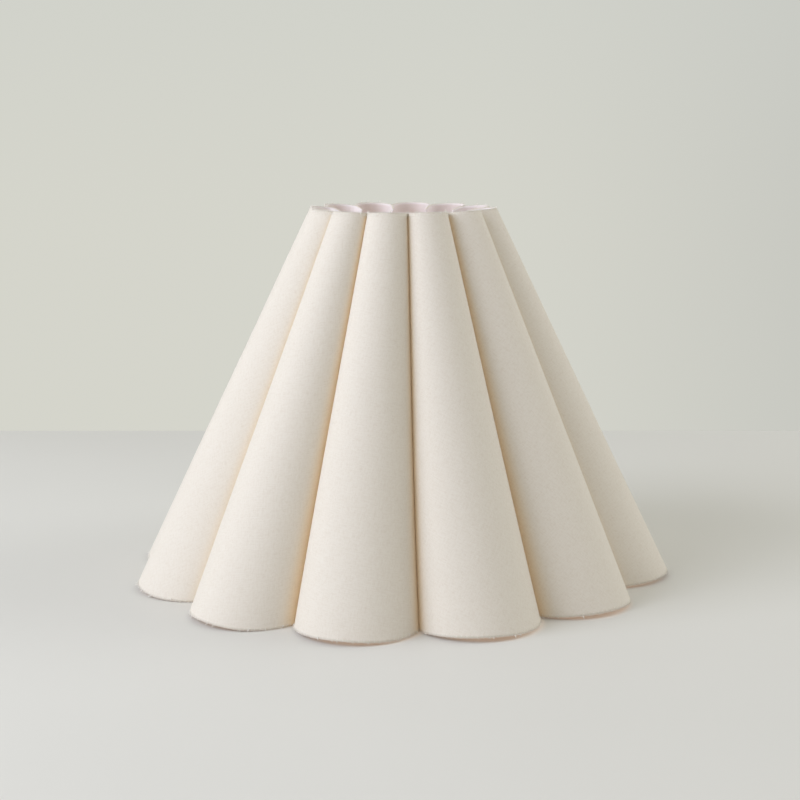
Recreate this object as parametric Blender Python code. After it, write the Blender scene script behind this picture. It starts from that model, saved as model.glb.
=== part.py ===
"""Fluted cone lamp shade: a fabric and liner laminate bent into rounded flutes.

The strip is folded inwards between the flutes. Two wire rings sit in notches
cut in those folds, and a three-armed spider hangs the shade from a washer.
Units are metres, +Z is up, and the shade stands on the plane z = 0.
"""
from math import cos, hypot, pi, radians, sin

import bmesh
import bpy

# Overall shape
FLUTES = 12
HEIGHT = 0.2406                  # folds' lower ends to folds' upper ends
BOTTOM_RADIUS = 0.1780           # over the flutes' crests
TOP_RADIUS = 0.0622
BOTTOM_CAP = 0.0385              # radius of a flute's rounded face
TOP_CAP = 0.0134
CAP_HALF_ANGLE = radians(70)     # the wide arc of a flute, to each side of its crest
BOTTOM_SLOT = 0.0042             # mouth of the groove between two flutes
TOP_SLOT = 0.0018
WEDGE = radians(15)              # each wall of the groove leans this far from its middle
BOTTOM_SETTLE = 0.0060           # radius at which the walls come together
TOP_SETTLE = 0.0020
BOTTOM_RUN = 0.0185              # depth of the closed fold behind the groove
TOP_RUN = 0.0063
BOTTOM_LIFT = 0.0032             # the crests stand this far off the table
TOP_LIFT = 0.0016                # the crests rise this far over the folds
FOLD_DIP = 0.0030                # the folds' inner corners drop at the top

# Sheet
FABRIC = 0.0004
LINER = 0.0003
GAP = 0.0003                     # kept between solids that touch in the real shade
LINER_SETBACK = 0.0004           # the liner stops this far short of the fabric's edges
CAP_STEPS = 6                    # flats on half a flute's wide arc
CORNER_STEPS = 3

# Wire frame
WIRE = 0.00125                   # wire radius
RING_SEGMENTS = 48
WIRE_SIDES = 8
BOTTOM_RING_Z = 0.0180
TOP_RING_Z = HEIGHT - 0.0140
NOTCH_HALF_HEIGHT = 0.0018
BOTTOM_NOTCH = 0.16              # notch depth as a share of the closed fold's depth
TOP_NOTCH = 0.38
RING_SEAT = 0.0004               # from the wire to the notch's end

# Spider
ARMS = 3
WASHER_RADIUS = 0.0150
WASHER_HOLE = 0.00556            # 7/16 inch hole for a harp's stud
WASHER_THICKNESS = 0.0016
WASHER_SEGMENTS = 36
SPIDER_DROP = 0.0120             # the washer hangs this far below the top ring
ARM_BEND_START = 0.12            # shares of an arm's span between which it drops
ARM_BEND_END = 0.84
ARM_STEPS = 8                    # straight pieces in an arm's bend
ARM_BEVEL = 2                    # gives the arms' wire eight sides

HALF_PITCH = pi / FLUTES


def clear_scene():
    for item in list(bpy.data.objects):
        bpy.data.objects.remove(item, do_unlink=True)


def make_material(name, colour, roughness, metallic=0.0):
    material = bpy.data.materials.new(name)
    material.use_nodes = True
    shader = material.node_tree.nodes["Principled BSDF"]
    shader.inputs["Base Color"].default_value = (*colour, 1.0)
    shader.inputs["Roughness"].default_value = roughness
    shader.inputs["Metallic"].default_value = metallic
    return material


def add_object(name, data, material):
    data.materials.clear()
    data.materials.append(material)
    item = bpy.data.objects.new(name, data)
    bpy.context.scene.collection.objects.link(item)
    return item


def half_outline(peak, cap, slot, settle, run):
    """Outer face of half a flute in plan, from its crest to its fold.

    x runs outwards along the flute and y across it. Each entry is a point and
    the unit normal that looks into the flute.
    """
    centre = peak - cap
    mouth = pi / 2 + HALF_PITCH - WEDGE
    closed = pi / 2 + HALF_PITCH
    turned = CAP_HALF_ANGLE - HALF_PITCH
    reach = centre * sin(HALF_PITCH) - slot / 2 - cap * sin(turned)
    corner = reach / (cos(WEDGE) - sin(turned))
    corner_x = centre + (cap - corner) * cos(CAP_HALF_ANGLE)
    corner_y = (cap - corner) * sin(CAP_HALF_ANGLE)
    points = []
    for step in range(CAP_STEPS + 1):
        angle = CAP_HALF_ANGLE * step / CAP_STEPS
        place = (centre + cap * cos(angle), cap * sin(angle))
        points.append((place, (-cos(angle), -sin(angle))))
    for step in range(1, CORNER_STEPS + 1):
        angle = CAP_HALF_ANGLE + (mouth - CAP_HALF_ANGLE) * step / CORNER_STEPS
        place = (corner_x + corner * cos(angle), corner_y + corner * sin(angle))
        points.append((place, (-cos(angle), -sin(angle))))
    (x, y), _ = points[-1]
    leg = (slot / 2 - GAP / 2 - settle * (1 - cos(WEDGE))) / sin(WEDGE)
    x += -leg * sin(mouth) + settle * (cos(closed) - cos(mouth))
    y += leg * cos(mouth) + settle * (sin(closed) - sin(mouth))
    normal = (-cos(closed), -sin(closed))
    for share in (0.0, 1 - TOP_NOTCH, 1 - BOTTOM_NOTCH, 1.0):
        place = (x - run * share * sin(closed), y + run * share * cos(closed))
        points.append((place, normal))
    return points


def full_outline(*sizes):
    half = half_outline(*sizes)
    mirrored = [((x, -y), (nx, -ny)) for (x, y), (nx, ny) in half[:0:-1]]
    return mirrored + half


BOTTOM_LINE = full_outline(BOTTOM_RADIUS, BOTTOM_CAP, BOTTOM_SLOT, BOTTOM_SETTLE, BOTTOM_RUN)
TOP_LINE = full_outline(TOP_RADIUS, TOP_CAP, TOP_SLOT, TOP_SETTLE, TOP_RUN)
COLUMNS = len(BOTTOM_LINE)
FOLD_CELLS = 3                   # cells across the closed part of a fold
BOTTOM_NOTCH_CELLS = 1           # of these, the ones that each notch takes
TOP_NOTCH_CELLS = 2


def bottom_height(radius):
    """Height of the lower edge: flat at the folds, lifted towards the crests."""
    start = BOTTOM_RADIUS - BOTTOM_CAP
    return BOTTOM_LIFT * max(0.0, (radius - start) / BOTTOM_CAP)


def top_height(radius):
    """Height of the upper edge: raised at the crests, dipping towards the folds."""
    start = TOP_RADIUS - TOP_CAP
    if radius > start:
        return HEIGHT + TOP_LIFT * (radius - start) / TOP_CAP
    fold = hypot(*TOP_LINE[0][0])
    return HEIGHT - FOLD_DIP * (start - radius) / (start - fold)


def generator(column, depth, setback):
    """Ends of one straight line up the flute, at a depth into the sheet."""
    ends = []
    for line, height, inward in ((BOTTOM_LINE, bottom_height, setback),
                                 (TOP_LINE, top_height, -setback)):
        (x, y), (nx, ny) = line[column]
        x += nx * depth
        y += ny * depth
        ends.append((x, y, height(hypot(*line[column][0])) + inward))
    return ends


def point_at_share(ends, share):
    low, high = ends
    return tuple(a + (b - a) * share for a, b in zip(low, high))


def row_shares(ends):
    """Shares of a line at its two rims and at the edges of both notches."""
    low, high = ends
    levels = []
    for ring_z in (BOTTOM_RING_Z, TOP_RING_Z):
        for side in (-NOTCH_HALF_HEIGHT, NOTCH_HALF_HEIGHT):
            levels.append((ring_z + side - low[2]) / (high[2] - low[2]))
    return [0.0] + levels + [1.0]


def is_fold_column(column):
    return column <= FOLD_CELLS or column >= COLUMNS - 1 - FOLD_CELLS


def sheet_mesh(name, outer_depth, inner_depth, setback):
    """One closed solid: a layer of the laminate over a whole flute."""
    ids = {}
    vertices = []
    for layer, depth in enumerate((outer_depth, inner_depth)):
        for column in range(COLUMNS):
            ends = generator(column, depth, setback)
            shares = row_shares(ends) if is_fold_column(column) else [0.0, 1.0]
            ids[layer, column] = []
            for share in shares:
                ids[layer, column].append(len(vertices))
                vertices.append(point_at_share(ends, share))
    outer_faces = layer_faces(ids, 0)
    faces = outer_faces + [face[::-1] for face in layer_faces(ids, 1)]
    offset = ids[1, 0][0] - ids[0, 0][0]
    sides = {side for face in outer_faces for side in zip(face, face[1:] + face[:1])}
    for first, second in sorted(sides):
        if (second, first) not in sides:
            faces.append((second, first, first + offset, second + offset))
    mesh = bpy.data.meshes.new(name)
    mesh.from_pydata(vertices, [], faces)
    orient_outwards(mesh)
    return mesh


def layer_faces(ids, layer):
    """Faces of one side of the sheet, with the notches left out."""
    faces = []
    for column in range(COLUMNS - 1):
        left = ids[layer, column]
        right = ids[layer, column + 1]
        if len(left) == len(right) == 2:
            faces.append((left[0], right[0], right[1], left[1]))
        elif len(left) == len(right):
            cells_from_fold = min(column, COLUMNS - 2 - column)
            for row in range(len(left) - 1):
                in_bottom_notch = row == 1 and cells_from_fold < BOTTOM_NOTCH_CELLS
                in_top_notch = row == 3 and cells_from_fold < TOP_NOTCH_CELLS
                if not (in_bottom_notch or in_top_notch):
                    faces.append((left[row], right[row], right[row + 1], left[row + 1]))
        elif len(left) > len(right):
            for row in range(len(left) - 1):
                faces.append((left[row], right[0], left[row + 1]))
            faces.append((left[-1], right[0], right[1]))
        else:
            for row in range(len(right) - 1):
                faces.append((left[0], right[row], right[row + 1]))
            faces.append((left[0], right[-1], left[1]))
    return faces


def orient_outwards(mesh):
    work = bmesh.new()
    work.from_mesh(mesh)
    bmesh.ops.recalc_face_normals(work, faces=work.faces)
    work.to_mesh(mesh)
    work.free()


def add_flutes(fabric_material, liner_material):
    liner_depth = FABRIC + GAP
    fabric = sheet_mesh("fabric_flute", 0.0, FABRIC, 0.0)
    liner = sheet_mesh("liner_flute", liner_depth, liner_depth + LINER, LINER_SETBACK)
    for number in range(FLUTES):
        turn = 2 * pi * number / FLUTES
        cover = add_object(f"fabric_flute_{number + 1:02d}", fabric, fabric_material)
        lining = add_object(f"liner_flute_{number + 1:02d}", liner, liner_material)
        for piece in (cover, lining):
            piece.rotation_euler.z = turn


def ring_radius(ring_z, notch_cells):
    """Radius of a ring that sits in notches of the given depth."""
    low, high = generator(notch_cells, 0.0, 0.0)
    x, y, _ = point_at_share((low, high), (ring_z - low[2]) / (high[2] - low[2]))
    return hypot(x, y) - WIRE - RING_SEAT


def add_ring(name, radius, height, material):
    """A closed wire ring."""
    vertices = []
    faces = []
    for segment in range(RING_SEGMENTS):
        turn = 2 * pi * segment / RING_SEGMENTS
        for side in range(WIRE_SIDES):
            around = 2 * pi * side / WIRE_SIDES
            out = radius + WIRE * cos(around)
            vertices.append((out * cos(turn), out * sin(turn), height + WIRE * sin(around)))
            here = segment * WIRE_SIDES
            there = (segment + 1) % RING_SEGMENTS * WIRE_SIDES
            following = (side + 1) % WIRE_SIDES
            faces.append((here + side, there + side, there + following, here + following))
    mesh = bpy.data.meshes.new(name)
    mesh.from_pydata(vertices, [], faces)
    orient_outwards(mesh)
    mesh.shade_smooth()
    return add_object(name, mesh, material)


def add_arm(number, top_ring, material):
    """A wire arm that runs in from the top ring and down to the washer."""
    outer = top_ring - WIRE - GAP
    inner = WASHER_RADIUS + GAP
    curve = bpy.data.curves.new(f"spider_arm_{number}", "CURVE")
    curve.dimensions = "3D"
    curve.bevel_depth = WIRE
    curve.bevel_resolution = ARM_BEVEL
    curve.use_fill_caps = True
    route = [(outer, TOP_RING_Z)]
    for step in range(ARM_STEPS + 1):
        share = step / ARM_STEPS
        along = ARM_BEND_START + (ARM_BEND_END - ARM_BEND_START) * share
        fall = SPIDER_DROP * (1 - cos(pi * share)) / 2
        route.append((outer + (inner - outer) * along, TOP_RING_Z - fall))
    route.append((inner, TOP_RING_Z - SPIDER_DROP))
    line = curve.splines.new("POLY")
    line.points.add(len(route) - 1)
    for point, (radius, height) in zip(line.points, route):
        point.co = (radius, 0.0, height, 1.0)
    arm = add_object(f"spider_arm_{number}", curve, material)
    arm.rotation_euler.z = pi / 2 + 2 * pi * (number - 1) / ARMS
    return arm


def add_washer(material):
    """The flat washer that a harp's stud goes through."""
    centre_z = TOP_RING_Z - SPIDER_DROP
    corners = ((WASHER_HOLE, -1), (WASHER_RADIUS, -1), (WASHER_RADIUS, 1), (WASHER_HOLE, 1))
    vertices = []
    faces = []
    for segment in range(WASHER_SEGMENTS):
        turn = 2 * pi * segment / WASHER_SEGMENTS
        for corner, (radius, side) in enumerate(corners):
            height = centre_z + side * WASHER_THICKNESS / 2
            vertices.append((radius * cos(turn), radius * sin(turn), height))
            here = segment * 4
            there = (segment + 1) % WASHER_SEGMENTS * 4
            following = (corner + 1) % 4
            faces.append((here + corner, there + corner, there + following, here + following))
    mesh = bpy.data.meshes.new("washer")
    mesh.from_pydata(vertices, [], faces)
    orient_outwards(mesh)
    return add_object("spider_washer", mesh, material)


def build():
    clear_scene()
    fabric = make_material("cream_fabric", (0.84, 0.80, 0.71), 0.85)
    liner = make_material("white_liner", (0.82, 0.78, 0.76), 0.55)
    wire = make_material("white_enamelled_wire", (0.80, 0.80, 0.78), 0.35)
    washer = make_material("plated_washer", (0.72, 0.70, 0.66), 0.30, 1.0)
    add_flutes(fabric, liner)
    bottom_ring = ring_radius(BOTTOM_RING_Z, BOTTOM_NOTCH_CELLS)
    top_ring = ring_radius(TOP_RING_Z, TOP_NOTCH_CELLS)
    add_ring("bottom_ring", bottom_ring, BOTTOM_RING_Z, wire)
    add_ring("top_ring", top_ring, TOP_RING_Z, wire)
    for number in range(1, ARMS + 1):
        add_arm(number, top_ring, wire)
    add_washer(washer)


build()
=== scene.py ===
"""Looks of a fluted cone lamp shade: one fan-shaped strip of lined cloth, bent into rounded flutes.

The strip starts as a flat grid. A geometry tree bends it, once for the cloth and once for
the liner behind it, and a second tree puts the cut threads along the cloth's raw edges.
Units are metres, +Z is up, and the shade stands on z = 0.
"""
from math import cos, hypot, pi, radians, sin

import bmesh
import bpy
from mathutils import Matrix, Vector


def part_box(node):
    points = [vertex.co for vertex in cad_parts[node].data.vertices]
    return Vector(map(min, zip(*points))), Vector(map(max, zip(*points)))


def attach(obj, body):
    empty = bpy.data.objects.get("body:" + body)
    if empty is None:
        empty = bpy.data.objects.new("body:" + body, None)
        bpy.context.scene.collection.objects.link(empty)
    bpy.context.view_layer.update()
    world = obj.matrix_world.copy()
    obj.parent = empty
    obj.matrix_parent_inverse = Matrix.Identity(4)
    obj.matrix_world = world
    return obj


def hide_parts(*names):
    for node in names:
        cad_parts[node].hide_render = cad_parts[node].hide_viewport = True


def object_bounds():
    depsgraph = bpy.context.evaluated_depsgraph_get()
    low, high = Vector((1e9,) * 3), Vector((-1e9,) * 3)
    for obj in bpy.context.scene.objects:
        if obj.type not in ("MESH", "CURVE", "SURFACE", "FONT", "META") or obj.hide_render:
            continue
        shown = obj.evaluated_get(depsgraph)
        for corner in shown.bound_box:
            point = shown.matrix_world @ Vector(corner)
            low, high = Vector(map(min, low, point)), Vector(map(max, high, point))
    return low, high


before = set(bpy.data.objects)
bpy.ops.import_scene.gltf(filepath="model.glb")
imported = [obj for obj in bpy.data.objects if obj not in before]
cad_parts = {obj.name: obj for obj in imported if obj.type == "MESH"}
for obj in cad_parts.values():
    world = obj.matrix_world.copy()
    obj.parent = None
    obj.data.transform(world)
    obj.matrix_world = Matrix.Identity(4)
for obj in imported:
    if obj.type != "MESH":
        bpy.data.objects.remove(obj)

cad_low, cad_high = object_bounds()

# ---------------------------------------------------------------- sizes taken from the frame
FLUTES = 12
PITCH = 2 * pi / FLUTES
MILLIMETRE = 0.001
NODE_NUMBERS = [f"{number:02d}" for number in range(1, FLUTES + 1)]
BOTTOM_RING_LOW, BOTTOM_RING_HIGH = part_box("bottom_ring")
TOP_RING_LOW, TOP_RING_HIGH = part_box("top_ring")
WASHER_LOW, WASHER_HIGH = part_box("spider_washer")
WIRE = (TOP_RING_HIGH.z - TOP_RING_LOW.z) / 2
BOTTOM_RING = BOTTOM_RING_HIGH.x - WIRE
TOP_RING = TOP_RING_HIGH.x - WIRE
BOTTOM_RING_Z = (BOTTOM_RING_LOW.z + BOTTOM_RING_HIGH.z) / 2
TOP_RING_Z = (TOP_RING_LOW.z + TOP_RING_HIGH.z) / 2
WASHER_Z = (WASHER_LOW.z + WASHER_HIGH.z) / 2
BOTTOM_RADIUS = cad_high.x

# ---------------------------------------------------------------- the strip's shape
TOP_SHARE = 0.3495              # radius of the upper rim to the lower one's
TOP_RADIUS = BOTTOM_RADIUS * TOP_SHARE
TOP_LIFT = 0.0016               # the crests rise this far over the folds at the top
BOTTOM_LIFT = 0.0032            # and stand this far off the table at the bottom
TOP_TILT = 0.009                # the upper rim is not quite level: it climbs by this towards +Y
TOP_RAISE = 0.0011              # and stands this much higher on the whole
FOLD_DIP = 0.0030               # the folds' inner corners drop at the top
HEIGHT = cad_high.z - TOP_LIFT
CAP_HALF_ANGLE = radians(70)    # the wide arc of a flute, to each side of its crest
WEDGE = radians(24)             # each wall of a groove leans this far from its middle
FOLD_NOSE = 0.00015             # radius of the cloth's turn at the end of a fold
CLOTH = 0.00038
THREAD_PITCH = 0.00062
LINER = 0.00030
GLUE = 0.00003
END_SPACING = 0.00074           # between the cut thread ends on a raw edge
THREAD_RADIUS = 0.11            # of a cut thread end, in millimetres


class Rim:
    """Plan of half a flute at one rim, worked out from its driving sizes."""

    def __init__(self, peak, cap, slot, settle, run):
        self.cap = cap
        self.centre = peak - cap
        self.mouth = pi / 2 + PITCH / 2 - WEDGE
        self.closed = pi / 2 + PITCH / 2
        turned = CAP_HALF_ANGLE - PITCH / 2
        reach = self.centre * sin(PITCH / 2) - slot / 2 - cap * sin(turned)
        self.corner = reach / (cos(WEDGE) - sin(turned))
        self.leg = (slot / 2 - FOLD_NOSE - settle * (1 - cos(WEDGE))) / sin(WEDGE)
        self.settle = settle
        self.run = run
        self.parts = (cap * CAP_HALF_ANGLE, self.corner * (self.mouth - CAP_HALF_ANGLE),
                      self.leg, settle * WEDGE, run, FOLD_NOSE * pi / 2)
        self.length = sum(self.parts)


BOTTOM = Rim(BOTTOM_RADIUS, cap=0.0385, slot=0.0042, settle=0.0060, run=0.0207)
TOP = Rim(TOP_RADIUS, cap=0.0134, slot=0.0018, settle=0.0020, run=0.0071)

# Shares of a half flute, from its crest to its fold, at which its parts end
CAP_SHARE, CORNER_SHARE, LEG_SHARE, SETTLE_SHARE = (
    sum(BOTTOM.parts[:count]) / BOTTOM.length for count in (1, 2, 3, 4))
RUN_SHARE = 0.985
BOTTOM_NOTCH = RUN_SHARE - (RUN_SHARE - SETTLE_SHARE) * 0.16    # the rings' notches end here
TOP_NOTCH = RUN_SHARE - (RUN_SHARE - SETTLE_SHARE) * 0.38
NOTCH_HALF_HEIGHT = 0.0017
GROOVE_SHADE_START = 0.53             # shares between which the cloth takes on the grooves' painted shade
GROOVE_SHADE_END = 0.85
GROOVE_SHADE_COLOUR = (1.18, 0.955, 0.640, 1)   # painted shade: the warm darkening that light going from wall to wall in a groove gives it
RIM_SHADE_SHARE = 0.25                 # share of that painted shade at the open upper rim
LEAN_AT_FOLD = 0.3              # share of a flute's lean that its folds follow
DROOP_FROM, DROOP_TO = -0.10, 0.45      # shares over which a lower edge droops
SOFT_WAVE = 0.0006              # height of the cloth's slow unevenness
LINER_SETBACK = 0.0002          # the liner is cut this much shorter than the cloth

# The flat cut: a sector of a ring
SLANT = hypot(HEIGHT, BOTTOM_RADIUS - TOP_RADIUS)
STRIP_BOTTOM = 2 * FLUTES * BOTTOM.length
STRIP_TOP = 2 * FLUTES * TOP.length
FAN_OUTER = SLANT * STRIP_BOTTOM / (STRIP_BOTTOM - STRIP_TOP)
FAN_ANGLE = STRIP_BOTTOM / FAN_OUTER
GRAIN_SHARE = 0.513             # where along the strip the threads run straight up the cone
FIRST_FLUTE = radians(90)       # the strip's ends meet in the fold before this flute

# Hand-made unevenness, flute by flute from the first one: how far its crest stands proud
# of the circle at the bottom and at the top, in millimetres; how far it leans round the
# circle at the bottom, at the top and, over that, halfway up, in degrees; and the share
# of its lift that its lower edge loses towards the next flute
UNEVEN = (
    (0.8, 0.3, 0.3, 0.2, 0.3, 0.2),
    (-1.2, -0.4, -0.4, 0.0, -0.2, 0.0),
    (0.6, 0.5, 0.2, -0.3, 0.2, 0.4),
    (-1.6, -2.4, 0.5, 0.4, 0.0, 0.3),
    (2.1, -1.4, -0.1, 0.9, -2.3, 0.7),
    (3.0, -0.4, -0.6, 1.9, -0.3, 0.75),
    (0.0, 0.0, -1.7, 0.2, -1.0, 0.5),
    (-1.8, -0.6, -2.0, -1.8, -0.45, 0.45),
    (-3.2, 0.0, 0.2, 0.2, 0.0, 0.5),
    (2.4, 1.5, 1.2, 1.0, 0.0, 0.0),
    (0.4, 0.2, -0.3, -0.4, 0.3, 0.1),
    (-0.8, 0.0, 0.4, 0.2, -0.1, 0.4),
)

# The camera, in the shade's own frame
CAMERA_ROUND = radians(279.05)
CAMERA_UP = radians(9.32)
CAMERA_DISTANCE = 1.059
CAMERA_AIM = 0.1143
LENS = 70.9
SENSOR = 36.0
FLOOR_BEHIND = 0.49             # the floor meets the backdrop this far behind the shade
FLOOR_REACH = 6
FRONT_LIGHT = (0.446, 0.432, 0.408, 1)
WALL_LEFT = (0.664, 0.664, 0.600, 1)
WALL_RIGHT = (0.555, 0.560, 0.520, 1)
WALL_HIGH = (0.600, 0.620, 0.585, 1)

# Light that comes through the cloth: painted as a warm glow that the floor gives off under it, and a
# weak lamp inside the shade
UNDER_GLOW = (0.180, 0.125, 0.088, 1)
FOOTPRINT_HOLLOW = 0.125
GLOW_FADE_IN, GLOW_FADE_OUT = 0.0060, 0.0015
INNER_GLOW_HEIGHT = 0.165
INNER_GLOW_POWER = 0.034
INNER_GLOW_COLOUR = (1.0, 0.80, 0.65)


# ---------------------------------------------------------------- node trees as expressions
class Term:
    """A socket in an expression. Arithmetic on it adds Math nodes to its tree."""

    def __init__(self, graph, socket):
        self.graph = graph
        self.socket = socket

    def math(self, operation, *others):
        return self.graph.math(operation, self, *others)

    def __add__(self, other):
        return self.math("ADD", other)

    __radd__ = __add__

    def __sub__(self, other):
        return self.math("SUBTRACT", other)

    def __rsub__(self, other):
        return self.graph.math("SUBTRACT", other, self)

    def __mul__(self, other):
        return self.math("MULTIPLY", other)

    __rmul__ = __mul__

    def __truediv__(self, other):
        return self.math("DIVIDE", other)

    def __rtruediv__(self, other):
        return self.graph.math("DIVIDE", other, self)

    def __pow__(self, other):
        return self.math("POWER", other)

    def sin(self):
        return self.math("SINE")

    def cos(self):
        return self.math("COSINE")

    def abs(self):
        return self.math("ABSOLUTE")

    def floor(self):
        return self.math("FLOOR")

    def at_least(self, other):
        return self.math("MAXIMUM", other)

    def at_most(self, other):
        return self.math("MINIMUM", other)

    def clamped(self):
        return self.at_least(0.0).at_most(1.0)

    def smooth(self, low, high):
        """0 below low, 1 above high and an eased step between them."""
        return self.graph.node(
            "ShaderNodeMapRange", {"interpolation_type": "SMOOTHSTEP"},
            {"Value": self, "From Min": low, "From Max": high})


class Graph:
    """A shader or geometry tree that is written as expressions."""

    def __init__(self, tree):
        self.tree = tree

    def node(self, kind, settings=None, values=None, output=None):
        """Adds a node. settings are its own properties, values feed its sockets."""
        node = self.tree.nodes.new(kind)
        for name, value in (settings or {}).items():
            setattr(node, name, value)
        for name, value in (values or {}).items():
            self.feed(next(s for s in node.inputs if s.name == name and s.enabled), value)
        return Term(self, next(s for s in node.outputs if s.enabled and output in (None, s.name)))

    def feed(self, socket, value):
        if isinstance(value, Term):
            self.tree.links.new(value.socket, socket)
        else:
            socket.default_value = value

    def math(self, operation, *terms):
        node = self.tree.nodes.new("ShaderNodeMath")
        node.operation = operation
        for socket, value in zip(node.inputs, terms):
            self.feed(socket, value)
        return Term(self, node.outputs[0])

    def vector(self, operation, *terms, output=0):
        node = self.tree.nodes.new("ShaderNodeVectorMath")
        node.operation = operation
        for place, value in enumerate(terms):
            socket = node.inputs["Scale"] if operation == "SCALE" and place == 1 else node.inputs[place]
            self.feed(socket, value)
        return Term(self, node.outputs[output])

    def join(self, x, y, z):
        return self.node("ShaderNodeCombineXYZ", values={"X": x, "Y": y, "Z": z})

    def split(self, vector):
        node = self.tree.nodes.new("ShaderNodeSeparateXYZ")
        self.feed(node.inputs[0], vector)
        return [Term(self, socket) for socket in node.outputs]

    def mix(self, factor, first, second, blend="MIX"):
        """Mix of two colours."""
        node = self.tree.nodes.new("ShaderNodeMix")
        node.data_type = "RGBA"
        node.blend_type = blend
        colour_inputs = [socket for socket in node.inputs if socket.type == "RGBA"]
        self.feed(node.inputs["Factor"], factor)
        for socket, value in zip(colour_inputs, (first, second)):
            self.feed(socket, value)
        return Term(self, next(s for s in node.outputs if s.type == "RGBA"))

    def noise(self, vector, scale, detail=2.0, roughness=0.5):
        return self.node("ShaderNodeTexNoise", values={
            "Vector": vector, "Scale": scale, "Detail": detail, "Roughness": roughness})

    def bump(self, shader, strength, height):
        bump = self.node("ShaderNodeBump", values={
            "Strength": strength, "Distance": 1.0, "Height": height})
        self.feed(shader.inputs["Normal"], bump)


class GeometryTree(Graph):
    """A geometry tree with named inputs; it ends in the node that the caller gives it."""

    def __init__(self, name, inputs):
        tree = bpy.data.node_groups.new(name, "GeometryNodeTree")
        super().__init__(tree)
        tree.interface.new_socket("Geometry", in_out="INPUT", socket_type="NodeSocketGeometry")
        tree.interface.new_socket("Geometry", in_out="OUTPUT", socket_type="NodeSocketGeometry")
        for label, kind in inputs.items():
            tree.interface.new_socket(label, in_out="INPUT", socket_type=kind)
        self.group_in = tree.nodes.new("NodeGroupInput")
        self.group_out = tree.nodes.new("NodeGroupOutput")

    def given(self, label):
        return Term(self, self.group_in.outputs[label])

    def finish(self, geometry, material):
        realized = self.node("GeometryNodeRealizeInstances", values={"Geometry": geometry})
        painted = self.node("GeometryNodeSetMaterial",
                            values={"Geometry": realized, "Material": material})
        self.feed(self.group_out.inputs["Geometry"], painted)


def run_tree(piece, graph, values):
    """Runs a geometry tree on a piece and leaves the result as its plain mesh."""
    modifier = piece.modifiers.new(graph.tree.name, "NODES")
    modifier.node_group = graph.tree
    for item in graph.tree.interface.items_tree:
        if item.in_out == "INPUT" and item.name in values:
            modifier[item.identifier] = values[item.name]
    view = bpy.context.evaluated_depsgraph_get()
    mesh = bpy.data.meshes.new_from_object(piece.evaluated_get(view), depsgraph=view)
    piece.modifiers.remove(modifier)
    old = piece.data
    piece.data = mesh
    bpy.data.meshes.remove(old)
    mesh.name = piece.name
    return piece


def new_piece(name, mesh, material=None):
    piece = bpy.data.objects.new(name, mesh)
    bpy.context.scene.collection.objects.link(piece)
    if material:
        mesh.materials.clear()
        mesh.materials.append(material)
    return piece


# ---------------------------------------------------------------- materials
def new_material(name):
    material = bpy.data.materials.new(name)
    material.use_nodes = True
    shader = material.node_tree.nodes["Principled BSDF"]
    return material, Graph(material.node_tree), shader


def cloth_material():
    """Plain weave of cream cotton and linen; the threads follow the flat cut."""
    material, graph, shader = new_material("cream_plain_weave")
    flat = graph.node("ShaderNodeUVMap", {"uv_map": "flat_cut"})
    across, along, _ = graph.split(flat)
    wander = graph.noise(flat, 140.0, 2.0) - 0.5
    warp = (across / THREAD_PITCH + wander * 0.9) * pi
    weft = (along / THREAD_PITCH + wander * 0.7) * pi
    checks = warp.sin() * weft.sin()
    over = checks.smooth(-0.35, 0.35)
    warp_round = (warp + pi / 2).sin().abs()
    weft_round = (weft + pi / 2).sin().abs()
    weave = over * warp_round + (1 - over) * weft_round

    warp_streaks = graph.noise(graph.join(across * 1500.0, along * 150.0, 0.0), 1.0, 2.0, 0.6)
    weft_streaks = graph.noise(graph.join(across * 150.0, along * 1500.0, 4.0), 1.0, 2.0, 0.6)
    streaks = (warp_streaks + weft_streaks) * 0.5
    warp_slubs = graph.noise(graph.join(across * 1300.0, along * 60.0, 9.0), 1.0, 1.0)
    weft_slubs = graph.noise(graph.join(across * 60.0, along * 1300.0, 17.0), 1.0, 1.0)
    slubs = warp_slubs.smooth(0.70, 0.82) + weft_slubs.smooth(0.70, 0.82)
    clouds = graph.noise(flat, 16.0, 3.0, 0.55)
    fuzz = graph.noise(flat, 620.0, 3.0, 0.65)
    specks = graph.noise(flat, 900.0, 2.0, 0.6).smooth(0.74, 0.84)

    cream = graph.mix(clouds.smooth(0.3, 0.7), (0.832, 0.776, 0.690, 1), (0.847, 0.794, 0.712, 1))
    fuzzy = graph.mix(fuzz.smooth(0.30, 0.70), (0.770, 0.708, 0.610, 1), cream)
    threads = graph.mix(streaks.smooth(0.30, 0.70), fuzzy, (0.850, 0.806, 0.722, 1))
    shaded = graph.mix((1 - weave) * 0.22, threads, (0.560, 0.480, 0.370, 1))
    knots = graph.mix(slubs.clamped() * 0.35, shaded, (0.880, 0.835, 0.745, 1))
    specked = graph.mix(specks * 0.30, knots, (0.560, 0.470, 0.360, 1))
    # painted shade: the groove attribute multiplies the cloth's colour warmer and darker towards each
    # fold
    groove = graph.node("ShaderNodeAttribute", {"attribute_name": "groove"}, output="Fac")
    colour = graph.mix(groove, specked, GROOVE_SHADE_COLOUR, "MULTIPLY")
    graph.feed(shader.inputs["Base Color"], colour)
    graph.feed(shader.inputs["Roughness"], 0.80 + 0.14 * (1 - weave))

    height = (weave * 0.00005 + fuzz * 0.00007 + streaks * 0.00004 + slubs * 0.00005
              + clouds * 0.00004)
    graph.bump(shader, 0.85, height)
    shader.inputs["Sheen Weight"].default_value = 0.22
    shader.inputs["Sheen Roughness"].default_value = 0.55
    shader.inputs["Sheen Tint"].default_value = (1.0, 0.97, 0.90, 1)
    shader.inputs["Specular IOR Level"].default_value = 0.22
    return material


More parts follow.
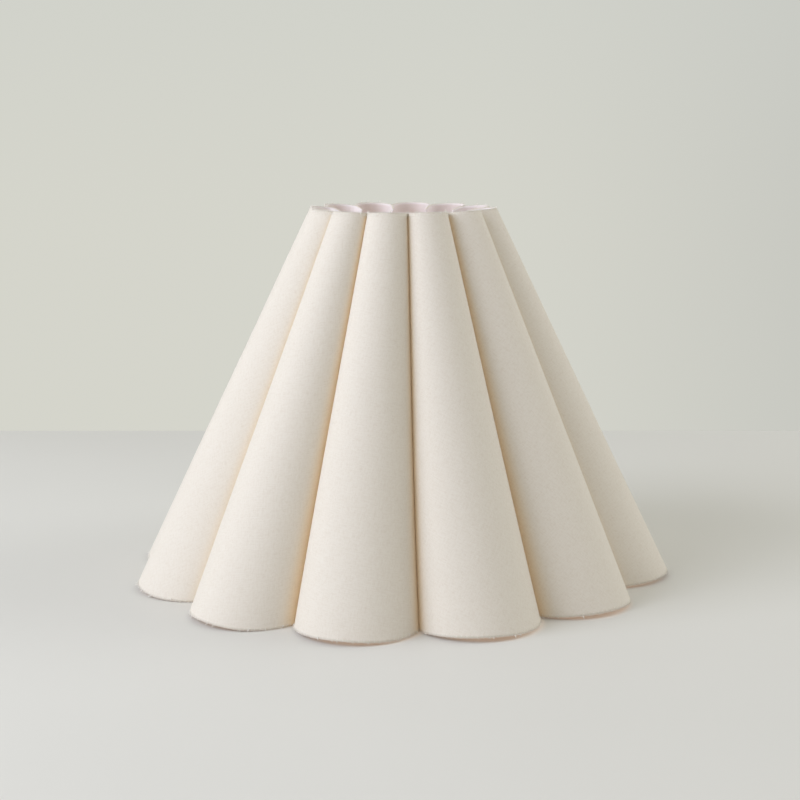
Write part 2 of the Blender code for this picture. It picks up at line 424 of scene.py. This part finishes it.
def liner_material():
    """Satin white stiffening sheet, faintly pink, with a calendered mottle."""
    material, graph, shader = new_material("white_liner_sheet")
    flat = graph.node("ShaderNodeUVMap", {"uv_map": "flat_cut"})
    mottle = graph.noise(flat, 55.0, 3.0, 0.6)
    grain = graph.noise(flat, 1400.0, 2.0, 0.6)
    colour = graph.mix(mottle.smooth(0.25, 0.75),
                       (0.925, 0.862, 0.850, 1), (0.945, 0.890, 0.880, 1))
    graph.feed(shader.inputs["Base Color"], colour)
    graph.feed(shader.inputs["Roughness"], 0.42 + 0.16 * grain)
    height = grain * 0.00002 + mottle * 0.00012
    graph.bump(shader, 0.5, height)
    shader.inputs["Specular IOR Level"].default_value = 0.45
    return material


def fibre_material():
    """Loose ends of the cream threads."""
    material, graph, shader = new_material("cream_thread_ends")
    place = graph.node("ShaderNodeTexCoord", output="Object")
    twist = graph.noise(place, 2500.0, 2.0)
    colour = graph.mix(twist.smooth(0.3, 0.7), (0.890, 0.850, 0.770, 1), (0.940, 0.920, 0.870, 1))
    graph.feed(shader.inputs["Base Color"], colour)
    graph.feed(shader.inputs["Roughness"], 0.78 + 0.15 * twist)
    shader.inputs["Sheen Weight"].default_value = 0.3
    return material


def enamel_material():
    """White enamel on drawn wire: thin, slightly wavy, with a few pinholes."""
    material, graph, shader = new_material("white_enamelled_wire")
    place = graph.node("ShaderNodeTexCoord", output="Object")
    flow = graph.noise(place, 260.0, 3.0, 0.55)
    pits = graph.noise(place, 1500.0, 1.0).smooth(0.76, 0.84)
    colour = graph.mix(flow.smooth(0.3, 0.7), (0.780, 0.775, 0.750, 1), (0.830, 0.825, 0.800, 1))
    worn = graph.mix(pits * 0.5, colour, (0.430, 0.420, 0.400, 1))
    graph.feed(shader.inputs["Base Color"], worn)
    graph.feed(shader.inputs["Roughness"], 0.26 + 0.22 * flow)
    height = flow * 0.00012 - pits * 0.00008
    graph.bump(shader, 0.5, height)
    shader.inputs["Coat Weight"].default_value = 0.25
    shader.inputs["Coat Roughness"].default_value = 0.2
    return material


def plated_material():
    """Zinc-plated pressed steel with turned marks round its hole."""
    material, graph, shader = new_material("plated_washer")
    place = graph.node("ShaderNodeTexCoord", output="Object")
    x, y, _ = graph.split(place)
    radius = (x * x + y * y) ** 0.5
    marks = graph.noise(graph.join(radius * 5200.0, 0.0, 0.0), 1.0, 3.0, 0.7)
    spangle = graph.noise(place, 420.0, 3.0, 0.6)
    colour = graph.mix(spangle.smooth(0.35, 0.65), (0.600, 0.595, 0.570, 1), (0.720, 0.715, 0.690, 1))
    graph.feed(shader.inputs["Base Color"], colour)
    graph.feed(shader.inputs["Roughness"], 0.24 + 0.20 * marks + 0.08 * spangle)
    graph.bump(shader, 0.3, marks * 0.00004)
    shader.inputs["Metallic"].default_value = 1.0
    return material


# ---------------------------------------------------------------- the flat strip
def spread(low, high, steps):
    """Evenly spaced places after low, up to and including high."""
    return [low + (high - low) * step / steps for step in range(1, steps + 1)]


def eased(value, low, high):
    """0 below low, 1 above high and an eased step between them."""
    part = min(1.0, max(0.0, (value - low) / (high - low)))
    return part * part * (3 - 2 * part)


def half_shares():
    """Shares of a half flute, from crest to fold, at which the strip has a column."""
    return ([0.0] + spread(0.0, CAP_SHARE, 15) + spread(CAP_SHARE, CORNER_SHARE, 5)
            + spread(CORNER_SHARE, LEG_SHARE, 2) + spread(LEG_SHARE, SETTLE_SHARE, 3)
            + spread(SETTLE_SHARE, TOP_NOTCH, 2) + [BOTTOM_NOTCH, RUN_SHARE]
            + spread(RUN_SHARE, 1.0, 4))


def strip_columns():
    """Signed shares of a whole flute, from its left fold to its right fold."""
    half = half_shares()
    return [-share for share in reversed(half)] + half[1:]


def strip_rows():
    """Shares of the height, with a row at each notch's edges."""
    notch_edges = []
    for ring_z in (BOTTOM_RING_Z, TOP_RING_Z):
        notch_edges += [(ring_z - NOTCH_HALF_HEIGHT) / HEIGHT, (ring_z + NOTCH_HALF_HEIGHT) / HEIGHT]
    low_edge, low_top, high_edge, high_top = notch_edges
    return ([0.0, 0.006, 0.02] + spread(0.02, low_edge, 2) + [low_top]
            + spread(low_top, high_edge, 16) + [high_top] + spread(high_top, 0.985, 2) + [0.995, 1.0])


def unevenness(flute, share):
    """Shifts at a place on a flute: its own at the crest, the neighbours' mean at the fold."""
    own = UNEVEN[flute]
    neighbour = UNEVEN[(flute + (1 if share > 0 else -1)) % FLUTES]
    weight = (1 - cos(pi * abs(share))) / 4
    low_proud, high_proud, low_lean, high_lean, bow, _ = (
        a * (1 - weight) + b * weight for a, b in zip(own, neighbour))
    proud_hold = MILLIMETRE * (1 - share ** 4)
    lean_hold = radians(1 - (1 - LEAN_AT_FOLD) * share ** 4)
    droop = own[5] * eased(share, DROOP_FROM, DROOP_TO)
    return ((low_proud * proud_hold, low_lean * lean_hold, droop),
            (high_proud * proud_hold, high_lean * lean_hold, bow * lean_hold))


def flat_strip(name):
    """The strip before bending: x is the share along it and y the share up it."""
    rows = strip_rows()
    columns = strip_columns()
    low_notch_row = rows.index(next(r for r in rows if r * HEIGHT > BOTTOM_RING_Z)) - 1
    high_notch_row = rows.index(next(r for r in rows if r * HEIGHT > TOP_RING_Z)) - 1
    places = []
    for flute in range(FLUTES):
        for share in columns[(0 if flute == 0 else 1):]:
            places.append((flute, share))
    mesh = bpy.data.meshes.new(name)
    vertices = []
    for flute, share in places:
        for row in rows:
            vertices.append(((flute + (share + 1) / 2) / FLUTES, row, 0.0))
    faces = []
    for column in range(len(places) - 1):
        middle = (abs(places[column][1]) + abs(places[column + 1][1])) / 2
        for row in range(len(rows) - 1):
            in_low_notch = row == low_notch_row and middle > BOTTOM_NOTCH
            in_high_notch = row == high_notch_row and middle > TOP_NOTCH
            if in_low_notch or in_high_notch:
                continue
            first = column * len(rows) + row
            faces.append((first, first + len(rows), first + len(rows) + 1, first + 1))
    mesh.from_pydata(vertices, [], faces)
    groove = mesh.attributes.new("groove", "FLOAT", "POINT")
    low_shift = mesh.attributes.new("low_shift", "FLOAT_VECTOR", "POINT")
    high_shift = mesh.attributes.new("high_shift", "FLOAT_VECTOR", "POINT")
    for index, (flute, share) in enumerate(places):
        low, high = unevenness(flute, share)
        # painted shade towards the folds, weaker on the rows at the upper rim
        painted_shade = eased(abs(share), GROOVE_SHADE_START, GROOVE_SHADE_END)
        for row in range(len(rows)):
            vertex = index * len(rows) + row
            groove.data[vertex].value = painted_shade * (RIM_SHADE_SHARE if row > len(rows) - 3 else 1.0)
            low_shift.data[vertex].vector = low
            high_shift.data[vertex].vector = high
    mesh.shade_smooth()
    return mesh


# ---------------------------------------------------------------- bending the strip
def rim_plan(graph, rim, share, depth):
    """x out along the flute and y across it, on one rim, at a depth into the sheet."""

    def part(start, end, size):
        return ((share - start) / (end - start)).clamped() * size

    turn = part(0.0, CAP_SHARE, CAP_HALF_ANGLE)
    total = turn + part(CAP_SHARE, CORNER_SHARE, rim.mouth - CAP_HALF_ANGLE)
    leg = part(CORNER_SHARE, LEG_SHARE, rim.leg)
    settling = part(LEG_SHARE, SETTLE_SHARE, WEDGE) + rim.mouth
    run = part(SETTLE_SHARE, RUN_SHARE, rim.run)
    nose = part(RUN_SHARE, 1.0, pi / 2)
    forward = run + (depth + FOLD_NOSE) * nose.sin()
    sideways = (depth + FOLD_NOSE) * (1 - nose.cos())
    x = (rim.centre + (rim.cap - rim.corner) * turn.cos() + (rim.corner - depth) * total.cos()
         - leg * sin(rim.mouth) + (rim.settle - depth) * (settling.cos() - cos(rim.mouth))
         - forward * sin(rim.closed) + sideways * cos(rim.closed))
    y = ((rim.cap - rim.corner) * turn.sin() + (rim.corner - depth) * total.sin()
         + leg * cos(rim.mouth) + (rim.settle - depth) * (settling.sin() - sin(rim.mouth))
         + forward * cos(rim.closed) + sideways * sin(rim.closed))
    return x, y


def bending_tree():
    """Bends the flat strip into the fluted cone and keeps its flat cut as a UV map."""
    graph = GeometryTree("bend_strip", {
        "Depth": "NodeSocketFloat", "Edge Setback": "NodeSocketFloat",
        "Unevenness": "NodeSocketFloat", "Material": "NodeSocketMaterial"})
    depth = graph.given("Depth")
    setback = graph.given("Edge Setback")
    place = graph.node("GeometryNodeInputPosition")
    along, up, _ = graph.split(place)
    count = along * FLUTES
    flute = count.floor()
    signed = (count - flute) * 2 - 1
    share = signed.abs()
    side = signed.math("SIGN")

    low_shift, high_shift = (
        graph.node("GeometryNodeInputNamedAttribute", {"data_type": "FLOAT_VECTOR"}, {"Name": name})
        for name in ("low_shift", "high_shift"))
    low_proud, low_lean, droop = graph.split(low_shift)
    high_proud, high_lean, bow = graph.split(high_shift)
    low_x, low_y = rim_plan(graph, BOTTOM, share, depth)
    high_x, high_y = rim_plan(graph, TOP, share, depth)
    low_radius = (low_x * low_x + low_y * low_y) ** 0.5
    high_radius = (high_x * high_x + high_y * high_y) ** 0.5
    lift = (low_radius - BOTTOM.centre).at_least(0.0) * (BOTTOM_LIFT / BOTTOM.cap)
    low_z = lift * (1 - droop) + setback
    over = high_radius - TOP.centre
    high_z = (HEIGHT + over.at_least(0.0) * (TOP_LIFT / TOP.cap)
              + over.at_most(0.0) * (FOLD_DIP / (TOP.leg + TOP.run)) - setback)

    def blend(low, high):
        return low + (high - low) * up

    flat_place = graph.join(along * (STRIP_BOTTOM * 9.0), up * (SLANT * 7.0), 0.0)
    soft = (graph.noise(flat_place, 1.0, 1.0) - 0.5) * graph.given("Unevenness")
    soft = soft * (1 - share ** 6) * 2.0
    x = blend(low_x, high_x) + blend(low_proud, high_proud) + soft
    y = blend(low_y, high_y) * side
    z = blend(low_z, high_z)
    lean = blend(low_lean, high_lean) + bow * up * (1 - up) * 4.0
    round_axis = flute * PITCH + FIRST_FLUTE + lean
    world_y = x * round_axis.sin() + y * round_axis.cos()
    rise = (world_y * TOP_TILT + TOP_RAISE) * up
    turned = graph.join(x * round_axis.cos() - y * round_axis.sin(), world_y, z + rise)

    fan = (along - GRAIN_SHARE) * FAN_ANGLE
    reach = FAN_OUTER - up * SLANT
    cut = graph.join(reach * fan.sin(), reach * fan.cos() * -1.0, 0.0)
    marked = graph.node("GeometryNodeStoreNamedAttribute",
                        {"data_type": "FLOAT2", "domain": "CORNER"},
                        {"Geometry": graph.given("Geometry"), "Name": "flat_cut", "Value": cut})
    bent = graph.node("GeometryNodeSetPosition", values={"Geometry": marked, "Position": turned})
    graph.finish(bent, graph.given("Material"))
    return graph


def mark_rims(mesh, rows):
    """Marks the vertices of the lower rim with 1 and of the upper rim with 2."""
    rim = mesh.attributes.new("rim", "INT", "POINT")
    for vertex in range(len(mesh.vertices)):
        row = vertex % rows
        rim.data[vertex].value = 1 if row == 0 else 2 if row == rows - 1 else 0


def add_sheet(name, tree, material, depth, setback, thickness):
    mesh = flat_strip(name)
    mark_rims(mesh, len(strip_rows()))
    piece = new_piece(name, mesh)
    run_tree(piece, tree, {"Depth": depth, "Edge Setback": setback,
                           "Unevenness": SOFT_WAVE, "Material": material})
    piece.data.shade_smooth()
    wall = piece.modifiers.new("wall", "SOLIDIFY")
    wall.thickness = thickness
    wall.offset = -1.0
    wall.use_even_offset = False
    return piece


# ---------------------------------------------------------------- raw edges
def thread_end_mesh():
    """One cut thread end, a millimetre long: a tapered stub with a slight bend."""
    work = bmesh.new()
    sides = 5
    levels = ((0.0, 1.0, 0.0), (0.5, 0.95, 0.06), (1.0, 0.55, 0.18))
    loops = []
    for height, width, bend in levels:
        loop = []
        for side in range(sides):
            turn = 2 * pi * side / sides
            reach = THREAD_RADIUS * width
            place = (reach * cos(turn) + bend, reach * sin(turn), height)
            loop.append(work.verts.new(Vector(place) * MILLIMETRE))
        loops.append(loop)
    for low, high in zip(loops, loops[1:]):
        for side in range(sides):
            following = (side + 1) % sides
            work.faces.new((low[side], low[following], high[following], high[side]))
    work.faces.new(loops[0][::-1])
    work.faces.new(loops[-1])
    mesh = bpy.data.meshes.new("thread_end")
    work.to_mesh(mesh)
    work.free()
    mesh.shade_smooth()
    return mesh


def edge_tree():
    """Cut thread ends along one rim of the cloth, one for each thread, a few of them loose."""
    graph = GeometryTree("raw_edge", {
        "Rim": "NodeSocketInt", "Thread": "NodeSocketObject", "Spacing": "NodeSocketFloat",
        "Outwards": "NodeSocketFloat", "Seed": "NodeSocketInt", "Material": "NodeSocketMaterial"})
    rim = graph.node("GeometryNodeInputNamedAttribute", {"data_type": "INT"}, {"Name": "rim"})
    chosen = graph.node("FunctionNodeCompare", {"data_type": "INT", "operation": "EQUAL"},
                        {"A": rim, "B": graph.given("Rim")})
    line = graph.node("GeometryNodeMeshToCurve",
                      values={"Mesh": graph.given("Geometry"), "Selection": chosen})
    points = graph.node("GeometryNodeResampleCurve", {"mode": "LENGTH"},
                        {"Curve": line, "Length": graph.given("Spacing")})
    seed = graph.given("Seed")
    jitter = graph.node("FunctionNodeRandomValue", {"data_type": "FLOAT_VECTOR"}, {
        "Min": (-0.55, -0.55, -0.2), "Max": (0.55, 0.55, 0.2), "Seed": seed})
    place = graph.node("GeometryNodeInputPosition")
    x, y, _ = graph.split(place)
    outward = graph.vector("NORMALIZE", graph.join(x, y, 0.0))
    away = graph.vector("SCALE", outward, graph.given("Outwards").abs())
    down = graph.join(0.0, 0.0, graph.given("Outwards").math("SIGN"))
    aim = graph.vector("ADD", graph.vector("ADD", down, away), jitter)
    turned = graph.node("FunctionNodeAlignRotationToVector", {"axis": "Z"}, {"Vector": aim})
    chance = graph.node("FunctionNodeRandomValue", {"data_type": "FLOAT"}, {"Seed": seed + 5})
    width = graph.node("FunctionNodeRandomValue", {"data_type": "FLOAT"}, {"Seed": seed + 9})
    fat = width ** 40
    length = 0.25 + 0.35 * chance + (chance ** 14) * 0.7 + fat * 1.4
    girth = 1.0 + 0.5 * width + fat * 2.0
    size = graph.join(girth, girth, length)
    thread = graph.node("GeometryNodeObjectInfo", values={"Object": graph.given("Thread")},
                        output="Geometry")
    placed = graph.node("GeometryNodeInstanceOnPoints", values={
        "Points": points, "Instance": thread, "Rotation": turned, "Scale": size})
    graph.finish(placed, graph.given("Material"))
    return graph


def add_raw_edge(name, cloth_mesh, tree, rim, thread, outwards, seed, material):
    piece = new_piece(name, cloth_mesh.copy())
    run_tree(piece, tree, {"Rim": rim, "Thread": thread, "Spacing": END_SPACING,
                           "Outwards": outwards, "Seed": seed, "Material": material})
    return piece


# ---------------------------------------------------------------- wire frame
WELD_SWELL = 0.16
WELD_LENGTH = 0.0022
ARM_OVERLAP = 0.0042            # length of an arm's pressed end under the washer
ARM_BEND_START = 0.0060         # inwards from the upper ring
ARM_BEND_END = 0.0035           # outwards from the washer
WASHER_HOLE = 0.00556
WASHER_EDGE = 0.00045           # radius of its rolled edges
WASHER_STEP = 0.0003            # its flat part lies this far below its two raised rims


def tube_mesh(name, route, radius, sides, closed=False, profile=None):
    """A tube round a route of points; profile gives a scale for each point, if any."""
    work = bmesh.new()
    count = len(route)
    loops = []
    for index, place in enumerate(route):
        before = route[index - 1] if index or closed else place
        after = route[(index + 1) % count] if index < count - 1 or closed else place
        heading = (after - before).normalized()
        upright = Vector((0, 0, 1))
        across = heading.cross(upright).normalized()
        lift = across.cross(heading).normalized()
        wide, tall = profile(index / (count - 1)) if profile else (1.0, 1.0)
        loop = []
        for side in range(sides):
            turn = 2 * pi * side / sides
            offset = across * (radius * wide * cos(turn)) + lift * (radius * tall * sin(turn))
            loop.append(work.verts.new(place + offset))
        loops.append(loop)
    pairs = list(zip(loops, loops[1:])) + ([(loops[-1], loops[0])] if closed else [])
    for low, high in pairs:
        for side in range(sides):
            following = (side + 1) % sides
            work.faces.new((low[side], low[following], high[following], high[side]))
    if not closed:
        work.faces.new(loops[0][::-1])
        work.faces.new(loops[-1])
    bmesh.ops.recalc_face_normals(work, faces=work.faces)
    mesh = bpy.data.meshes.new(name)
    work.to_mesh(mesh)
    work.free()
    mesh.shade_smooth()
    return mesh


def ring_piece(name, radius, height, join_at, material):
    """A wire ring with a slightly fat butt weld where its ends meet."""
    steps = 240
    route = []
    for step in range(steps):
        turn = join_at + 2 * pi * step / steps
        route.append(Vector((radius * cos(turn), radius * sin(turn), height)))

    def weld(share):
        near = min(share, 1 - share) * 2 * pi * radius
        fat = 1.0 + WELD_SWELL * max(0.0, 1 - (near / WELD_LENGTH) ** 2)
        return fat, fat

    return new_piece(name, tube_mesh(name, route, WIRE, 16, True, weld), material)


def arm_piece(number, material):
    """A spider arm: wire from the ring, bent down to the washer, its end pressed flat."""
    heading = pi / 2 + 2 * pi * (number - 1) / 3
    outer = TOP_RING - WIRE * 0.6
    inner = WASHER_HIGH.x - ARM_OVERLAP
    bend_start = TOP_RING - ARM_BEND_START
    bend_end = WASHER_HIGH.x + ARM_BEND_END
    drop = TOP_RING_Z - WASHER_LOW.z + WIRE * 0.42
    steps = 40
    route = []
    for step in range(steps + 1):
        radius = outer + (inner - outer) * step / steps
        height = TOP_RING_Z - drop * eased(-radius, -bend_start, -bend_end)
        route.append(Vector((radius * cos(heading), radius * sin(heading), height)))

    def pressed(share):
        flat = min(1.0, max(0.0, (share - 0.86) / 0.08))
        return 1.0 + 0.55 * flat, 1.0 - 0.60 * flat

    name = f"arm_{number}"
    return new_piece(name, tube_mesh(name, route, WIRE, 14, False, pressed), material)


def washer_piece(material):
    """The washer, turned, with rolled edges and a raised rim round its hole."""
    hole = WASHER_HOLE
    outer = WASHER_HIGH.x
    half = (WASHER_HIGH.z - WASHER_LOW.z) / 2
    edge = WASHER_EDGE
    low_half = half - WASHER_STEP
    section = []
    for centre_x, centre_z, first in ((outer - edge, half - edge, 0), (hole + edge, half - edge, 90),
                                      (hole + edge, -half + edge, 180),
                                      (outer - edge, -half + edge, 270)):
        for step in range(5):
            turn = radians(first + 90 * step / 4)
            section.append((centre_x + edge * cos(turn), centre_z + edge * sin(turn)))
        if first == 0:
            section += [(outer - 0.0030, half), (outer - 0.0038, low_half),
                        (hole + 0.0026, low_half), (hole + 0.0019, half)]
    steps = 96
    work = bmesh.new()
    loops = []
    for step in range(steps):
        turn = 2 * pi * step / steps
        loops.append([work.verts.new((r * cos(turn), r * sin(turn), WASHER_Z + z)) for r, z in section])
    for step in range(steps):
        here, there = loops[step], loops[(step + 1) % steps]
        for point in range(len(section)):
            following = (point + 1) % len(section)
            work.faces.new((here[point], there[point], there[following], here[following]))
    bmesh.ops.recalc_face_normals(work, faces=work.faces)
    mesh = bpy.data.meshes.new("washer")
    work.to_mesh(mesh)
    work.free()
    mesh.shade_smooth()
    mesh.set_sharp_from_angle(angle=radians(35))
    return new_piece("washer", mesh, material)


# ---------------------------------------------------------------- studio
def glow_under(graph, place):
    """Mask of the painted glow: 1 on the floor under the cloth and inside it, 0 outside the lower edge.
    """
    x, y, _ = graph.split(place)
    turns = y.math("ARCTAN2", x) / PITCH + (FLUTES + 0.5)
    angle = (turns - turns.floor() - 0.5) * PITCH
    radius = (x * x + y * y) ** 0.5
    outwards = radius * angle.cos() - BOTTOM.centre
    across = radius * angle.sin()
    from_lobe = (outwards * outwards + across * across) ** 0.5
    from_hollow = (radius - FOOTPRINT_HOLLOW).at_least(0.0) + BOTTOM.cap * 0.8
    away = from_lobe.at_most(from_hollow)
    return 1 - away.smooth(BOTTOM.cap - GLOW_FADE_IN, BOTTOM.cap + GLOW_FADE_OUT)


def add_floor():
    """A pale floor whose far edge is square to the camera and meets the backdrop; under the shade it
    gives off painted light.
    """
    material, graph, shader = new_material("pale_studio_floor")
    place = graph.node("ShaderNodeTexCoord", output="Object")
    soft = graph.noise(place, 3.0, 2.0)
    colour = graph.mix(soft.smooth(0.3, 0.7), (0.725, 0.718, 0.675, 1), (0.740, 0.733, 0.690, 1))
    graph.feed(shader.inputs["Base Color"], colour)
    shader.inputs["Roughness"].default_value = 0.6
    shader.inputs["Specular IOR Level"].default_value = 0.2
    # painted light: the floor glows warm under the cloth, standing in for light let through it
    glow = graph.mix(glow_under(graph, place), (0.0, 0.0, 0.0, 1), UNDER_GLOW)
    graph.feed(shader.inputs["Emission Color"], glow)
    shader.inputs["Emission Strength"].default_value = 1.0
    towards = Vector((cos(CAMERA_ROUND), sin(CAMERA_ROUND), 0))
    aside = Vector((-towards.y, towards.x, 0))
    corners = [towards * near + aside * side for near, side in (
        (-FLOOR_BEHIND, -FLOOR_REACH), (FLOOR_REACH, -FLOOR_REACH),
        (FLOOR_REACH, FLOOR_REACH), (-FLOOR_BEHIND, FLOOR_REACH))]
    mesh = bpy.data.meshes.new("floor")
    mesh.from_pydata(corners, [], [(0, 1, 2, 3)])
    floor = new_piece("floor", mesh, material)


def add_camera():
    data = bpy.data.cameras.new("camera")
    data.lens = LENS
    data.sensor_width = SENSOR
    camera = bpy.data.objects.new("camera", data)
    bpy.context.scene.collection.objects.link(camera)
    level = CAMERA_DISTANCE * cos(CAMERA_UP)
    height = HEIGHT / 2 + CAMERA_DISTANCE * sin(CAMERA_UP)
    place = Vector((level * cos(CAMERA_ROUND), level * sin(CAMERA_ROUND), height))
    camera.location = place
    aim = Vector((0, 0, CAMERA_AIM)) - place
    camera.rotation_euler = aim.to_track_quat("-Z", "Y").to_euler()
    data.clip_start = 0.01
    data.clip_end = 100.0
    bpy.context.scene.camera = camera


def add_light(name, azimuth, elevation, distance, size, power, colour):
    """A soft panel that faces the shade; azimuth is measured to the right of the camera."""
    data = bpy.data.lights.new(name, "AREA")
    data.shape = "RECTANGLE"
    data.size, data.size_y = size
    data.energy = power
    data.color = colour
    lamp = bpy.data.objects.new(name, data)
    bpy.context.scene.collection.objects.link(lamp)
    turn = CAMERA_ROUND + radians(azimuth)
    up = radians(elevation)
    target = Vector((0, 0, 0.10))
    place = Vector((cos(turn) * cos(up), sin(turn) * cos(up), sin(up))) * distance + target
    lamp.location = place
    lamp.rotation_euler = (target - place).to_track_quat("-Z", "Y").to_euler()


def add_backdrop():
    """Soft surroundings: pale grey-green behind the shade, dimmer to the right and in front."""
    world = bpy.data.worlds.new("studio")
    world.use_nodes = True
    bpy.context.scene.world = world
    graph = Graph(world.node_tree)
    heading = graph.node("ShaderNodeTexCoord", output="Generated")
    behind = (-cos(CAMERA_ROUND), -sin(CAMERA_ROUND), 0.0)
    rightwards = (-sin(CAMERA_ROUND), cos(CAMERA_ROUND), 0.0)
    to_back = graph.vector("DOT_PRODUCT", heading, behind, output="Value")
    to_right = graph.vector("DOT_PRODUCT", heading, rightwards, output="Value")
    _, _, up = graph.split(heading)
    wall = graph.mix(to_right.smooth(0.02, 0.36), WALL_LEFT, WALL_RIGHT)
    wall = graph.mix(up.smooth(-0.08, 0.16) * 0.5, wall, WALL_HIGH)
    room = graph.mix(to_back.smooth(-0.2, 0.7), FRONT_LIGHT, wall)
    back = world.node_tree.nodes["Background"]
    graph.feed(back.inputs["Color"], room)
    back.inputs["Strength"].default_value = 1.0


def add_inner_glow():
    """A weak light inside the shade, for the light that the cloth lets through."""
    data = bpy.data.lights.new("inner_glow", "POINT")
    data.energy = INNER_GLOW_POWER
    data.color = INNER_GLOW_COLOUR
    data.shadow_soft_size = 0.03
    lamp = bpy.data.objects.new("inner_glow", data)
    lamp.location = (0.0, 0.0, INNER_GLOW_HEIGHT)
    bpy.context.scene.collection.objects.link(lamp)


def add_studio():
    add_floor()
    add_camera()
    add_backdrop()
    add_light("window_panel", -62, 30, 1.9, (1.3, 1.2), 22.3, (1.0, 1.035, 1.18))
    add_light("side_panel", 100, 30, 1.9, (1.3, 1.2), 9.9, (1.0, 1.0, 0.99))
    add_inner_glow()
    bpy.context.scene.view_settings.view_transform = "Standard"


# ---------------------------------------------------------------- the shade
def build_shade():
    cloth = cloth_material()
    liner = liner_material()
    fibre = fibre_material()
    enamel = enamel_material()
    plated = plated_material()
    bend = bending_tree()

    cover = add_sheet("cloth_cover", bend, cloth, 0.0, 0.0, CLOTH)
    backing = add_sheet("stiff_liner", bend, liner, CLOTH + GLUE, LINER_SETBACK, LINER)
    thread = bpy.data.objects.new("thread_end", thread_end_mesh())
    edges = edge_tree()
    low_edge = add_raw_edge("lower_cut_threads", cover.data, edges, 1, thread, -1.1, 3, fibre)
    high_edge = add_raw_edge("upper_cut_threads", cover.data, edges, 2, thread, 0.35, 11, fibre)
    bpy.data.objects.remove(thread)

    low_ring = ring_piece("lower_wire_ring", BOTTOM_RING, BOTTOM_RING_Z, radians(70), enamel)
    high_ring = ring_piece("upper_wire_ring", TOP_RING, TOP_RING_Z, radians(60), enamel)
    arms = [arm_piece(number, enamel) for number in (1, 2, 3)]
    washer = washer_piece(plated)

    for piece in (cover, backing, low_edge, high_edge, low_ring, high_ring, washer, *arms):
        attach(piece, "root")
    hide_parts(*[f"fabric_flute_{number}" for number in NODE_NUMBERS])
    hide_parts(*[f"liner_flute_{number}" for number in NODE_NUMBERS])
    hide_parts("bottom_ring")
    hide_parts("top_ring")
    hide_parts("spider_washer")
    for number, arm in enumerate(arms, 1):
        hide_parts(f"spider_arm_{number}")


add_studio()
build_shade()
